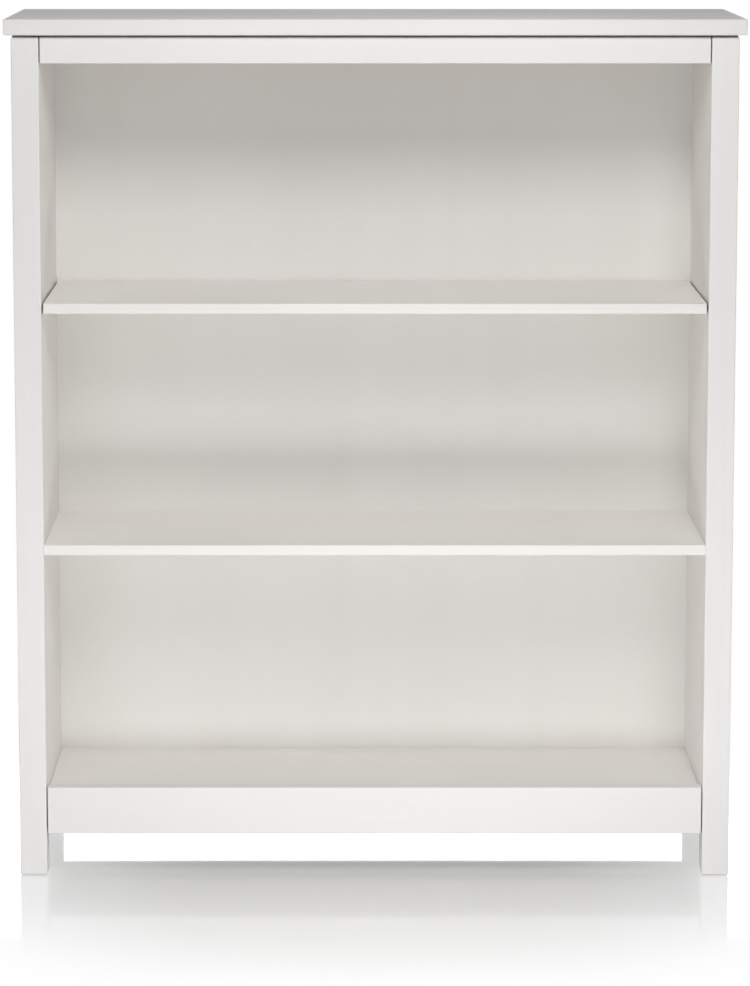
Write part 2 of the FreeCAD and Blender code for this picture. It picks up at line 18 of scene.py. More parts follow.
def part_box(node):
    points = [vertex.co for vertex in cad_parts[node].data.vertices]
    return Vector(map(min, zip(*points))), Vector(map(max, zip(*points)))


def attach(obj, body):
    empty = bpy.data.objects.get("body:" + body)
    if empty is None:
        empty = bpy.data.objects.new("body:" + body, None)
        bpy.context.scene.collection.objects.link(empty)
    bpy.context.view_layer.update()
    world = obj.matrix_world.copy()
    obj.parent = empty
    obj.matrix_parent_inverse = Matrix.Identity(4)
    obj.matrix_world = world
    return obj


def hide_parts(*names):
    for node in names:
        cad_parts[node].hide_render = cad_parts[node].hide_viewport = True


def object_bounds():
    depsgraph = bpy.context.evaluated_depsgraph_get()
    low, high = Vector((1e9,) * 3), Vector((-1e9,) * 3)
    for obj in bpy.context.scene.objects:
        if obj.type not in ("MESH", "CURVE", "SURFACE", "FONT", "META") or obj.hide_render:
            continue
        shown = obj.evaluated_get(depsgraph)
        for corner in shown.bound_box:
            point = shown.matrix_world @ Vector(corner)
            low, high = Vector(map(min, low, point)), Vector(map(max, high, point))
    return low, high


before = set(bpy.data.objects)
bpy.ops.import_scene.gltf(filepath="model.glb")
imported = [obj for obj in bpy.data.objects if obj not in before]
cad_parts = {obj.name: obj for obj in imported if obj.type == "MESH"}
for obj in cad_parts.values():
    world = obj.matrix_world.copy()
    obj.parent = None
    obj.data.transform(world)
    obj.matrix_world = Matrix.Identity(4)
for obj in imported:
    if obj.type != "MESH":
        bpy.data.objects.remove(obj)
CAD_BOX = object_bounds()
LOG = logging.getLogger("bookcase")
MM = 0.001
MERGE_GAP = 0.001 * MM
TRIM_GAP = 0.0001 * MM
SMOOTH_LIMIT = math.radians(35.0)
EASE_LIMIT = math.radians(50.0)
CARCASS = "carcass"
WHITE = (1.0, 1.0, 1.0, 1.0)

Pair = tuple[float, float]
Triple = tuple[float, float, float]
Colour = tuple[float, float, float]
Box = tuple[Vector, Vector]
Socket = bpy.types.NodeSocket
Inputs = dict[str | int, object]


class Grain(Enum):
    """The direction in which a board's fibres run, as an index of X, Y, Z."""

    ACROSS = 0
    UPRIGHT = 2


class Row(Enum):
    """The front and the rear of the case, as its pieces' names have them."""

    FRONT = "front"
    REAR = "rear"


class Side(Enum):
    """The two sides of the case, as its pieces' names have them."""

    LEFT = "left"
    RIGHT = "right"


class Slot(Enum):
    """Names of two of the record's material slots, steel and zinc; the script gives them to no piece."""

    STEEL = "steel"
    ZINC = "zinc"


class Graph:
    """A material's or the world's node tree, with short ways to add and join nodes."""

    MIX_FACTOR, MIX_FIRST, MIX_SECOND, MIX_RESULT = 0, 6, 7, 2

    def __init__(self, owner: bpy.types.ID) -> None:
        """Clears the owner's node tree for a fresh start.

        Args:
            owner: the material or world that holds the tree.
        """
        owner.use_nodes = True
        self.owner = owner
        self.tree = owner.node_tree
        self.tree.nodes.clear()

    def add(self, kind: str, inputs: Inputs | None = None, **settings: object) -> bpy.types.Node:
        """Adds a node, sets its options and feeds its inputs.

        Args:
            kind: the node's type name.
            inputs: input name or index to a socket to link or a value to set.
            settings: the node's own options.

        Returns:
            The new node.
        """
        node = self.tree.nodes.new(kind)
        for name, setting in settings.items():
            setattr(node, name, setting)
        for name, source in (inputs or {}).items():
            if isinstance(source, Socket):
                self.tree.links.new(source, node.inputs[name])
            else:
                node.inputs[name].default_value = source
        return node

    def math(self, operation: str, *values: Socket | float) -> Socket:
        """A Math node's result for up to three values."""
        return self.add("ShaderNodeMath", dict(enumerate(values)), operation=operation).outputs[0]

    def mix(self, factor: Socket | float, first: Socket | Colour, second: Socket | Colour) -> Socket:
        """Mixes two colours.

        Args:
            factor: 0 gives the first colour and 1 the second.
            first: a socket or a plain colour.
            second: a socket or a plain colour.

        Returns:
            The mixed colour's socket.
        """
        shades = [value if isinstance(value, Socket) else (*value, 1.0) for value in (first, second)]
        inputs = {self.MIX_FACTOR: factor, self.MIX_FIRST: shades[0], self.MIX_SECOND: shades[1]}
        return self.add("ShaderNodeMix", inputs, data_type="RGBA").outputs[self.MIX_RESULT]

    def blend(self, first: Socket, second: Socket, share: float) -> Socket:
        """The sum of two patterns, in which the first one has the given share."""
        rest = self.math("MULTIPLY", second, 1.0 - share)
        return self.math("ADD", self.math("MULTIPLY", first, share), rest)

    def span(self, value: Socket, low: float, high: float, start: float = 0.0, end: float = 1.0) -> Socket:
        """Maps a value from start..end to low..high, clamped, with a smooth step."""
        inputs = {"Value": value, "From Min": start, "From Max": end, "To Min": low, "To Max": high}
        return self.add("ShaderNodeMapRange", inputs, interpolation_type="SMOOTHSTEP").outputs[0]

    def point(self) -> Socket:
        """The surface point in the object's own coordinates."""
        return self.add("ShaderNodeTexCoord").outputs["Object"]

    def placed(self, point: Socket, scale: Triple, shift: Triple = (0, 0, 0)) -> Socket:
        """A point that is scaled and shifted.

        Args:
            point: the coordinates to map.
            scale: repeats for each metre along each axis.
            shift: an offset that sets one piece's pattern apart from the next.

        Returns:
            The mapped coordinates' socket.
        """
        inputs = {"Vector": point, "Location": shift, "Scale": scale}
        return self.add("ShaderNodeMapping", inputs).outputs[0]

    def noise(self, point: Socket, scale: float, detail: float) -> Socket:
        """Fractal noise from 0 to 1."""
        inputs = {"Vector": point, "Scale": scale, "Detail": detail}
        return self.add("ShaderNodeTexNoise", inputs).outputs[0]

    def bump(self, height: Socket, depth: float, strength: float, normal: Socket | None = None) -> Socket:
        """Raises a height pattern off the surface.

        Args:
            height: the pattern, from 0 to 1.
            depth: how far 1 stands above 0, in metres.
            strength: how much of it shows.
            normal: the normal of a pattern under this one.

        Returns:
            The bent normal's socket.
        """
        inputs = {"Height": height, "Distance": depth, "Strength": strength}
        if normal is not None:
            inputs["Normal"] = normal
        return self.add("ShaderNodeBump", inputs).outputs[0]

    def surface(self, shader: bpy.types.Node) -> None:
        """Joins a shader to the tree's output.

        Args:
            shader: the node that makes the finished surface or surround.
        """
        of_world = isinstance(self.owner, bpy.types.World)
        kind = "ShaderNodeOutputWorld" if of_world else "ShaderNodeOutputMaterial"
        self.add(kind, {"Surface": shader.outputs[0]})

    def principled(self, inputs: Inputs) -> bpy.types.Material:
        """Joins a Principled shader with these inputs to the output, and gives the finished material."""
        self.surface(self.add("ShaderNodeBsdfPrincipled", inputs))
        return self.owner


def new_graph(name: str) -> Graph:
    """An empty graph in a new material of that name."""
    return Graph(bpy.data.materials.new(name))


def depth_inside(graph: Graph, point: Socket, box: Box, axis: int) -> Socket:
    """How far a point on a box-shaped board lies from the nearer one of a pair of faces.

    Args:
        graph: the material's graph.
        point: object coordinates.
        box: the board's lowest and highest corners.
        axis: the axis that the two faces stand across, as an index of X, Y, Z.

    Returns:
        The distance in metres.
    """
    low, high = (corner[axis] for corner in box)
    along = graph.add("ShaderNodeSeparateXYZ", {0: point}).outputs[axis]
    off_middle = graph.math("ABSOLUTE", graph.math("SUBTRACT", along, (low + high) / 2))
    return graph.math("SUBTRACT", (high - low) / 2, off_middle)


def near_edge(graph: Graph, point: Socket, box: Box) -> Socket:
    """How far a point on a box-shaped board lies from the board's nearest edge.

    Args:
        graph: the material's graph.
        point: object coordinates.
        box: the board's lowest and highest corners.

    Returns:
        The distance in metres: the second smallest of the distances to the three pairs of faces.
    """
    gaps = [depth_inside(graph, point, box, axis) for axis in range(3)]
    nearer = graph.math("MINIMUM", gaps[0], gaps[1])
    farther = graph.math("MAXIMUM", gaps[0], gaps[1])
    return graph.math("MAXIMUM", nearer, graph.math("MINIMUM", farther, gaps[2]))


def along_grain(grain: Grain, along: float, across: float) -> Triple:
    """Pattern repeats for each metre that are few along the grain and many across it."""
    return tuple(along if axis == grain.value else across for axis in range(3))


def stepped(step: Triple, number: int) -> Triple:
    """An offset of so many steps, which moves one piece's pattern away from the others'."""
    return tuple(number * part for part in step)


@dataclass(frozen=True)
class SatinPaint:
    """Satin enamel sprayed on wood: clouded tone, grain that shows through, orange peel, thin edges.

    A board's ends may be left dark, as bare end grain and as painted shade in the joint gap, which shows
    as a dark line in a narrow joint.
    """

    tone: Colour = (0.880, 0.863, 0.852)
    cloud: Colour = (0.855, 0.836, 0.822)
    thin: Colour = (0.835, 0.803, 0.762)
    roughness: Pair = (0.49, 0.61)
    roughness_span: Pair = (0.25, 0.75)
    specular: float = 0.2
    cloud_scale: float = 3.0
    cloud_share: float = 0.65
    cloud_span: Pair = (0.3, 0.7)
    streaks_along: float = 2.5
    streaks_across: float = 140.0
    peel_scale: float = 650.0
    peel_depth: float = 0.06 * MM
    grain_depth: float = 0.10 * MM
    relief: float = 0.5
    edge_width: float = 2.2 * MM
    edge_share: float = 0.45
    edge_least: float = 0.15
    edge_span: Pair = (0.35, 0.65)
    # Colour and reach of the dark ends: bare end grain, and painted shade in the narrow joint gaps.
    end_grain_gap_shade: Colour = (0.13, 0.11, 0.09)
    end_gap_shade_depth: float = 0.5 * MM
    pattern_step: Triple = (1.7, 0.9, 2.3)

    def material(
        self, name: str, box: Box, grain: Grain, number: int, bare_ends_gap_shade: bool
    ) -> bpy.types.Material:
        """Mixes the paint for one board.

        Args:
            name: the material's name.
            box: the board's corners, for the thin paint along its edges.
            grain: the way the fibres run.
            number: the board's number, which moves its pattern away from the others'.
            bare_ends_gap_shade: leaves the end faces dark, as unpainted end grain and as painted shade in
                the joint gaps.

        Returns:
            The material.
        """
        graph = new_graph(name)
        point = graph.point()
        shift = stepped(self.pattern_step, number)
        clouds = graph.noise(graph.placed(point, (1, 1, 1), shift), self.cloud_scale, 1.0)
        fibres = graph.placed(point, along_grain(grain, self.streaks_along, self.streaks_across), shift)
        streaks = graph.noise(fibres, 1.0, 2.0)
        peel = graph.noise(point, self.peel_scale, 0.0)
        mottle = graph.blend(clouds, streaks, self.cloud_share)
        colour = graph.mix(graph.span(mottle, 0.0, 1.0, *self.cloud_span), self.tone, self.cloud)
        rubbed = graph.span(near_edge(graph, point, box), 1.0, 0.0, 0.0, self.edge_width)
        patches = graph.span(clouds, self.edge_least, 1.0, *self.edge_span)
        worn = graph.math("MULTIPLY", graph.math("MULTIPLY", rubbed, patches), self.edge_share)
        colour = graph.mix(worn, colour, self.thin)
        # Dark ends: bare end grain, and painted shade that darkens the joint gaps beside them.
        if bare_ends_gap_shade:
            inside = depth_inside(graph, point, box, grain.value)
            colour = graph.mix(graph.span(inside, 1.0, 0.0, 0.0, self.end_gap_shade_depth), colour, self.end_grain_gap_shade)
        fibre_relief = graph.bump(streaks, self.grain_depth, self.relief)
        return graph.principled({
            "Base Color": colour,
            "Roughness": graph.span(mottle, *self.roughness, *self.roughness_span),
            "Specular IOR Level": self.specular,
            "Normal": graph.bump(peel, self.peel_depth, self.relief, fibre_relief),
        })


@dataclass(frozen=True)
class BoardPaint:
    """Paint rolled on thin hardboard: a fine pebble from the pressed sheet, and faint roller lanes."""

    tone: Colour = (0.904, 0.888, 0.865)
    cloud: Colour = (0.880, 0.861, 0.834)
    roughness: Pair = (0.50, 0.64)
    roughness_span: Pair = (0.3, 0.7)
    specular: float = 0.2
    cloud_scale: float = 4.0
    cloud_share: float = 0.5
    cloud_most: float = 0.8
    cloud_span: Pair = (0.3, 0.7)
    lane_scale: Triple = (22.0, 22.0, 1.2)
    pebble_scale: float = 420.0
    pebble_depth: float = 0.16 * MM
    pebble_relief: float = 0.5
    fleck_scale: float = 260.0
    fleck_most: float = 0.5
    fleck_span: Pair = (0.58, 0.75)
    fleck_relief: float = 0.3

    def material(self, name: str) -> bpy.types.Material:
        """Mixes the paint.

        Args:
            name: the material's name.

        Returns:
            The material.
        """
        graph = new_graph(name)
        point = graph.point()
        clouds = graph.noise(point, self.cloud_scale, 1.0)
        rolled = graph.noise(graph.placed(point, self.lane_scale), 1.0, 1.0)
        flecks = graph.noise(point, self.fleck_scale, 1.0)
        pebble = graph.noise(point, self.pebble_scale, 0.0)
        mottle = graph.blend(clouds, rolled, self.cloud_share)
        clouded = graph.span(mottle, 0.0, self.cloud_most, *self.cloud_span)
        colour = graph.mix(clouded, self.tone, self.cloud)
        flecked = graph.span(flecks, 0.0, self.fleck_most, *self.fleck_span)
        pebbled = graph.bump(pebble, self.pebble_depth, self.pebble_relief)
        return graph.principled({
            "Base Color": graph.mix(flecked, colour, self.cloud),
            "Roughness": graph.span(flecks, *self.roughness, *self.roughness_span),
            "Specular IOR Level": self.specular,
            "Normal": graph.bump(flecks, self.pebble_depth, self.fleck_relief, pebbled),
        })


@dataclass(frozen=True)
class BareWood:
    """Planed softwood with pale early wood, darker rings and short pores."""

    early: Colour = (0.72, 0.58, 0.40)
    late: Colour = (0.56, 0.41, 0.25)
    pore: Colour = (0.42, 0.29, 0.17)
    roughness: Pair = (0.70, 0.56)
    specular: float = 0.3
    rings_along: float = 1.6
    rings_across: float = 130.0
    ring_waver: float = 2.4
    ring_detail: float = 3.0
    ring_detail_scale: float = 0.8
    ring_span: Pair = (0.25, 0.95)
    ring_relief: float = 0.3
    pores_along: float = 40.0
    pores_across: float = 1400.0
    pore_most: float = 0.8
    pore_span: Pair = (0.6, 0.72)
    pore_relief: float = 0.4
    depth: float = 0.12 * MM
    pattern_step: Triple = (0.37, 0.61, 0.83)

    def material(self, name: str, grain: Grain, number: int) -> bpy.types.Material:
        """Grows the wood for one piece.

        Args:
            name: the material's name.
            grain: the way the fibres run.
            number: the piece's number, which moves its pattern away from the others'.

        Returns:
            The material.
        """
        graph = new_graph(name)
        point = graph.point()
        shift = stepped(self.pattern_step, number)
        waves = {
            "Vector": graph.placed(point, along_grain(grain, self.rings_along, self.rings_across), shift),
            "Scale": 1.0,
            "Distortion": self.ring_waver,
            "Detail": self.ring_detail,
            "Detail Scale": self.ring_detail_scale,
        }
        rings = graph.add("ShaderNodeTexWave", waves, wave_type="BANDS", bands_direction="DIAGONAL")
        ring = graph.span(rings.outputs["Fac"], 0.0, 1.0, *self.ring_span)
        fibres = graph.placed(point, along_grain(grain, self.pores_along, self.pores_across))
        pores = graph.noise(fibres, 1.0, 2.0)
        pored = graph.span(pores, 0.0, self.pore_most, *self.pore_span)
        ringed = graph.bump(ring, self.depth, self.ring_relief)
        return graph.principled({
            "Base Color": graph.mix(pored, graph.mix(ring, self.early, self.late), self.pore),
            "Roughness": graph.span(ring, *self.roughness),
            "Specular IOR Level": self.specular,
            "Normal": graph.bump(pores, self.depth, self.pore_relief, ringed),
        })


@dataclass(frozen=True)
class Metal:
    """Bare or plated metal: a spangled tone, fine scratches and uneven polish."""

    bright: Colour
    dull: Colour
    roughness: Pair
    spangle_scale: float
    stain_scale: float
    spangle_share: float = 0.4
    tone_span: Pair = (0.25, 0.75)
    roughness_span: Pair = (0.2, 0.8)
    scratch_scale: float = 2600.0
    scratch_run: Triple = (1.0, 0.06, 0.06)
    scratch_depth: float = 0.02 * MM
    scratch_relief: float = 0.4
    anisotropy: float = 0.2

    def material(self, name: str) -> bpy.types.Material:
        """Plates the metal.

        Args:
            name: the material's name.

        Returns:
            The material.
        """
        graph = new_graph(name)
        point = graph.point()
        cells = graph.add("ShaderNodeTexVoronoi", {"Vector": point, "Scale": self.spangle_scale})
        tint = graph.add("ShaderNodeSeparateColor", {0: cells.outputs["Color"]}).outputs[0]
        stain = graph.noise(point, self.stain_scale, 3.0)
        scratches = graph.noise(graph.placed(point, self.scratch_run), self.scratch_scale, 2.0)
        mottle = graph.blend(tint, stain, self.spangle_share)
        return graph.principled({
            "Base Color": graph.mix(graph.span(mottle, 0.0, 1.0, *self.tone_span), self.bright, self.dull),
            "Metallic": 1.0,
            "Roughness": graph.span(mottle, *self.roughness, *self.roughness_span),
            "Anisotropic": self.anisotropy,
            "Normal": graph.bump(scratches, self.scratch_depth, self.scratch_relief),
        })


@dataclass(frozen=True)
class Nylon:
    """Moulded grey nylon with a fine pebble and pale scuffs where it slides."""

    tone: Colour = (0.25, 0.24, 0.23)
    scuff: Colour = (0.42, 0.41, 0.40)
    roughness: Pair = (0.47, 0.63)
    scuff_scale: Triple = (40.0, 400.0, 400.0)
    scuff_most: float = 0.6
    scuff_span: Pair = (0.5, 0.75)
    pebble_scale: float = 1800.0
    depth: float = 0.05 * MM
    relief: float = 0.5

    def material(self, name: str) -> bpy.types.Material:
        """Moulds the plastic.

        Args:
            name: the material's name.

        Returns:
            The material.
        """
        graph = new_graph(name)
        point = graph.point()
        pebble = graph.noise(point, self.pebble_scale, 1.0)
        rubs = graph.noise(graph.placed(point, self.scuff_scale), 1.0, 3.0)
        scuffed = graph.span(rubs, 0.0, self.scuff_most, *self.scuff_span)
        return graph.principled({
            "Base Color": graph.mix(scuffed, self.tone, self.scuff),
            "Roughness": graph.span(pebble, *self.roughness),
            "Normal": graph.bump(pebble, self.depth, self.relief),
        })


FRAME_PAINT = SatinPaint()
INNER_PAINT = SatinPaint(
    tone=(0.905, 0.888, 0.858),
    cloud=(0.882, 0.863, 0.830),
    thin=(0.860, 0.826, 0.775),
    # Lighter dark ends for the loose shelf: bare end grain and painted shade in its end gaps.
    end_grain_gap_shade=(0.20, 0.155, 0.115),
)
PLATED_STEEL = Metal(
    bright=(0.66, 0.66, 0.65),
    dull=(0.55, 0.56, 0.60),
    roughness=(0.22, 0.40),
    spangle_scale=420.0,
    stain_scale=105.0,
)
CAST_ZINC = Metal(
    bright=(0.58, 0.59, 0.61),
    dull=(0.46, 0.47, 0.49),
    roughness=(0.34, 0.52),
    spangle_scale=300.0,
    stain_scale=75.0,
)


def dress(piece: bpy.types.Object, material: bpy.types.Material) -> None:
    """Gives a piece one material in place of those it came with.

    Args:
        piece: a CAD node or a remade fitting.
        material: its finish.
    """
    piece.data.materials.clear()
    piece.data.materials.append(material)
    LOG.info("dressed %s with %s", piece.name, material.name)


def keep_piece(
    shape: bmesh.types.BMesh, name: str, material: bpy.types.Material, replaced: str
) -> None:
    """Turns a finished shape into a piece of the carcass that stands for a CAD node.

    Args:
        shape: the mesh, which is used up.
        name: the piece's name.
        material: its finish.
        replaced: the CAD node that it stands for.
    """
    mesh = bpy.data.meshes.new(name)
    shape.to_mesh(mesh)
    shape.free()
    mesh.shade_smooth()
    mesh.set_sharp_from_angle(angle=SMOOTH_LIMIT)
    piece = bpy.data.objects.new(name, mesh)
    bpy.context.scene.collection.objects.link(piece)
    dress(piece, material)
    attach(piece, CARCASS)
    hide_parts(replaced)


@dataclass
class PaintedBoards:
    """Boards of solid wood under satin paint, each with its own grain.

    Args:
        names: the CAD nodes, with the way each one's fibres run.
        paint: the finish.
        first_number: the number of the first board's pattern.
        bare_ends_gap_shade: whether the ends are left dark, as unpainted end grain and as painted shade,
            to show as dark lines in the joints.
    """

    names: dict[str, Grain]
    paint: SatinPaint
    first_number: int
    bare_ends_gap_shade: bool

    def dress(self) -> None:
        """Paints every board."""
        for number, (name, grain) in enumerate(self.names.items(), start=self.first_number):
            material = self.paint.material(name + "_paint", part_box(name), grain, number, self.bare_ends_gap_shade)
            dress(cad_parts[name], material)


@dataclass
class BackBoard:
    """The thin back."""

    name: str = "back_panel"
    paint: BoardPaint = BoardPaint()

    def dress(self) -> None:
        """Paints the back."""
        dress(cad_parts[self.name], self.paint.material(self.name + "_paint"))


@dataclass
class WoodenPieces:
    """Bare wooden pieces: battens and dowels."""

    names: dict[str, Grain]
    wood: BareWood = BareWood()

    def dress(self) -> None:
        """Gives every piece its own stretch of wood."""
        for number, (name, grain) in enumerate(self.names.items()):
            dress(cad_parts[name], self.wood.material(name + "_wood", grain, number))


@dataclass
class Hardware:
    """Metal or plastic fittings that keep their own shape and share one finish."""

    names: tuple[str, ...]
    material: bpy.types.Material

    def dress(self) -> None:
        """Gives every fitting the finish."""
        for name in self.names:
            dress(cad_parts[name], self.material)


def whole(shape: bmesh.types.BMesh) -> list[bmesh.types.BMVert | bmesh.types.BMEdge | bmesh.types.BMFace]:
    """All the vertices, edges and faces of a mesh."""
    return [*shape.verts, *shape.edges, *shape.faces]


def facing(place: Vector, ahead: Vector, upper: Vector) -> Matrix:
    """The move and turn that point a form's +Z ahead and its +X to the upper side."""
    turn = Matrix((upper, ahead.cross(upper), ahead)).transposed()
    return Matrix.Translation(place) @ turn.to_4x4()


def set_out(shape: bmesh.types.BMesh, places: list[Matrix]) -> None:
    """Puts a copy of the shape at each place, and drops the one that was copied.

    Args:
        shape: the mesh, which holds the one form to copy.
        places: the move and turn of each copy.
    """
    master = whole(shape)
    first_verts = list(shape.verts)
    for place in places:
        copy = bmesh.ops.duplicate(shape, geom=master)["geom"]
        verts = [part for part in copy if isinstance(part, bmesh.types.BMVert)]
        bmesh.ops.transform(shape, matrix=place, verts=verts)
    bmesh.ops.delete(shape, geom=first_verts, context="VERTS")


def soften(shape: bmesh.types.BMesh, width: float) -> None:
    """Rounds every edge that turns by more than EASE_LIMIT.

    Args:
        shape: the mesh.
        width: how far the rounding reaches from the edge.
    """
    edges = [edge for edge in shape.edges if edge.is_manifold and edge.calc_face_angle() > EASE_LIMIT]
    bmesh.ops.bevel(
        shape,
        geom=edges,
        offset=width,
        segments=2,
        profile=0.5,
        affect="EDGES",
        material=-1,
        clamp_overlap=True,
    )


@dataclass
class ShelfPins:
    """Pins that carry the loose shelf: a stem in the panel, a collar, and a paddle with a round end."""

    material: bpy.types.Material
    node: str = "shelf_pins"
    stem_radius: float = 2.5 * MM
    stem_length: float = 9.0 * MM
    stem_point: float = 0.5 * MM
    collar_radius: float = 4.0 * MM
    collar_thickness: float = 1.2 * MM
    paddle_length: float = 9.0 * MM
    paddle_width: float = 10.0 * MM
    paddle_corner: float = 4.0 * MM
    corner_steps: int = 6
    ease: float = 0.3 * MM
    steps: int = 32

    @property
    def collar_end(self) -> float:
        """Where the collar ends and the paddle starts, along the pin."""
        return self.stem_length + self.collar_thickness

    def turn_stem(self, shape: bmesh.types.BMesh) -> None:
        """Turns the stem and the collar, and trims the collar level with the stem's upper side.

        Args:
            shape: the mesh to add them to.
        """
        profile = (
            (0.0, 0.0),
            (self.stem_radius - self.stem_point, 0.0),
            (self.stem_radius, self.stem_point),
            (self.stem_radius, self.stem_length),
            (self.collar_radius, self.stem_length),
            (self.collar_radius, self.collar_end),
            (0.0, self.collar_end),
        )
        corners = [shape.verts.new((radius, 0.0, height)) for radius, height in profile]
        edges = [shape.edges.new(pair) for pair in zip(corners, corners[1:])]
        axis = {"cent": (0, 0, 0), "axis": (0, 0, 1), "angle": math.tau, "steps": self.steps}
        bmesh.ops.spin(shape, geom=corners + edges, use_merge=True, **axis)
        bmesh.ops.remove_doubles(shape, verts=shape.verts[:], dist=MERGE_GAP)
        bmesh.ops.recalc_face_normals(shape, faces=shape.faces[:])
        trim = {"plane_co": (self.stem_radius, 0, 0), "plane_no": (1, 0, 0), "clear_outer": True}
        bmesh.ops.bisect_plane(shape, geom=whole(shape), dist=TRIM_GAP, **trim)
        rims = [edge for edge in shape.edges if edge.is_boundary]
        bmesh.ops.holes_fill(shape, edges=rims)

    def cut_paddle(self, shape: bmesh.types.BMesh) -> None:
        """Cuts the flat paddle, from the collar to its round end.

        Args:
            shape: the mesh to add it to.
        """
        halfway = self.collar_end + self.paddle_length / 2
        middle = Matrix.Translation((self.stem_radius / 2, 0.0, halfway))
        size = Matrix.Diagonal((self.stem_radius, self.paddle_width, self.paddle_length, 1.0))
        bmesh.ops.create_cube(shape, size=1.0, matrix=middle @ size)
        corners = []
        for edge in shape.edges:
            first, second = (vert.co for vert in edge.verts)
            if min(first.z, second.z) > halfway and abs(first.x - second.x) > self.stem_radius / 2:
                corners.append(edge)
        bmesh.ops.bevel(
            shape,
            geom=corners,
            offset=self.paddle_corner,
            segments=self.corner_steps,
            profile=0.5,
            affect="EDGES",
            material=-1,
        )

    def build(self) -> None:
        """Makes the four pins where the CAD has them."""
        shape = bmesh.new()
        self.turn_stem(shape)
        self.cut_paddle(shape)
        soften(shape, self.ease)
        low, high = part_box(self.node)
        axis_z = low.z + self.collar_radius
        upward = Vector((0, 0, 1))
        places = []
        for end_x, inward in ((low.x, Vector((1, 0, 0))), (high.x, Vector((-1, 0, 0)))):
            for pin_y in (low.y + self.paddle_width / 2, high.y - self.paddle_width / 2):
                places.append(facing(Vector((end_x, pin_y, axis_z)), inward, upward))
        set_out(shape, places)
        keep_piece(shape, "carrying_pins", self.material, self.node)


@dataclass
class StrapBracket:
    """An anti-tip bracket of punched and bent sheet: an upright on the rail and a tab with an eye."""

    material: bpy.types.Material
    side: Side
    thickness: float = 2.0 * MM
    bend_radius: float = 3.0 * MM
    bend_steps: int = 6
    corner: float = 3.5 * MM
    corner_steps: int = 5
    eye_radius: float = 2.5 * MM
    eye_inset: float = 4.5 * MM
    hole_radius: float = 1.6 * MM
    hole_spread: float = 9.0 * MM
    hole_steps: int = 28
    ease: float = 0.25 * MM

    def punch(self, width: float, height: float, depth: float) -> bmesh.types.BMesh:
        """Punches the flat blank, with its bend line at z = 0 and the tab below it.

        Args:
            width: across the bracket.
            height: of the finished upright.
            depth: of the finished tab.

        Returns:
            The blank, a sheet without thickness in the XZ plane.
        """
        top = height - self.bend_radius
        tab = depth - self.bend_radius
        bottom = -self.bend_radius * math.pi / 2 - tab
        shape = bmesh.new()
        outline = ((-width / 2, bottom), (width / 2, bottom), (width / 2, top), (-width / 2, top))
        corners = [shape.verts.new((x, 0.0, z)) for x, z in outline]
        shape.faces.new(corners)
        bmesh.ops.bevel(
            shape,
            geom=corners,
            offset=self.corner,
            segments=self.corner_steps,
            profile=0.5,
            affect="VERTICES",
            material=-1,
        )
        bmesh.ops.delete(shape, geom=shape.faces[:], context="FACES_ONLY")
        hole_z = (height + self.thickness) / 2 - self.bend_radius
        holes = [(step * self.hole_spread, hole_z, self.hole_radius) for step in (-1, 1)]
        holes.append((0.0, bottom + self.eye_inset, self.eye_radius))
        upright = Matrix.Rotation(math.pi / 2, 4, "X")
        for x, z, radius in holes:
            place = Matrix.Translation((x, 0.0, z)) @ upright
            rim = {"segments": self.hole_steps, "radius": radius, "matrix": place}
            bmesh.ops.create_circle(shape, cap_ends=False, **rim)
        bmesh.ops.triangle_fill(shape, edges=shape.edges[:], normal=(0, -1, 0), use_beauty=True)
        return shape

    def bend(self, shape: bmesh.types.BMesh) -> None:
        """Bends the blank below z = 0 round to the rear.

        Args:
            shape: the flat blank.
        """
        length = self.bend_radius * math.pi / 2
        for step in range(self.bend_steps + 1):
            fold = {"plane_co": (0.0, 0.0, -length * step / self.bend_steps), "plane_no": (0, 0, 1)}
            bmesh.ops.bisect_plane(shape, geom=whole(shape), dist=MERGE_GAP, **fold)
        for vert in shape.verts:
            run = min(max(-vert.co.z, 0.0), length)
            beyond = max(-vert.co.z - length, 0.0)
            angle = run / self.bend_radius
            vert.co.y = self.bend_radius * (1 - math.cos(angle)) + beyond
            vert.co.z = max(vert.co.z, 0.0) - self.bend_radius * math.sin(angle)

    def build(self) -> None:
        """Makes the bracket where the CAD has it."""
        node = f"strap_bracket_{self.side.value}"
        low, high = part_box(node)
        shape = self.punch(high.x - low.x, high.z - low.z, high.y - low.y)
        self.bend(shape)
        bmesh.ops.recalc_face_normals(shape, faces=shape.faces[:])
        bmesh.ops.solidify(shape, geom=shape.faces[:], thickness=self.thickness)
        bmesh.ops.recalc_face_normals(shape, faces=shape.faces[:])
        soften(shape, self.ease)
        place = Vector(((low.x + high.x) / 2, low.y, low.z + self.bend_radius))
        bmesh.ops.translate(shape, verts=shape.verts[:], vec=place)
        keep_piece(shape, f"bent_bracket_{self.side.value}", self.material, node)


@dataclass
class Lamp:
    """A soft rectangular lamp that the camera doesn't see, and that the polished floor may mirror."""

    name: str
    place: Triple
    aim: Triple
    width: float
    height: float
    power: float
    mirrored: bool = True

    def hang(self) -> None:
        """Puts the lamp in place, turned to what it lights."""
        light = bpy.data.lights.new(self.name, "AREA")
        light.shape = "RECTANGLE"
        light.size = self.width
        light.size_y = self.height
        light.energy = self.power
        lamp = bpy.data.objects.new(self.name, light)
        lamp.location = self.place
        lamp.rotation_euler = (Vector(self.aim) - Vector(self.place)).to_track_quat("-Z", "Y").to_euler()
        lamp.visible_camera = False
        lamp.visible_glossy = self.mirrored
        bpy.context.scene.collection.objects.link(lamp)
        LOG.info("hung %s", self.name)


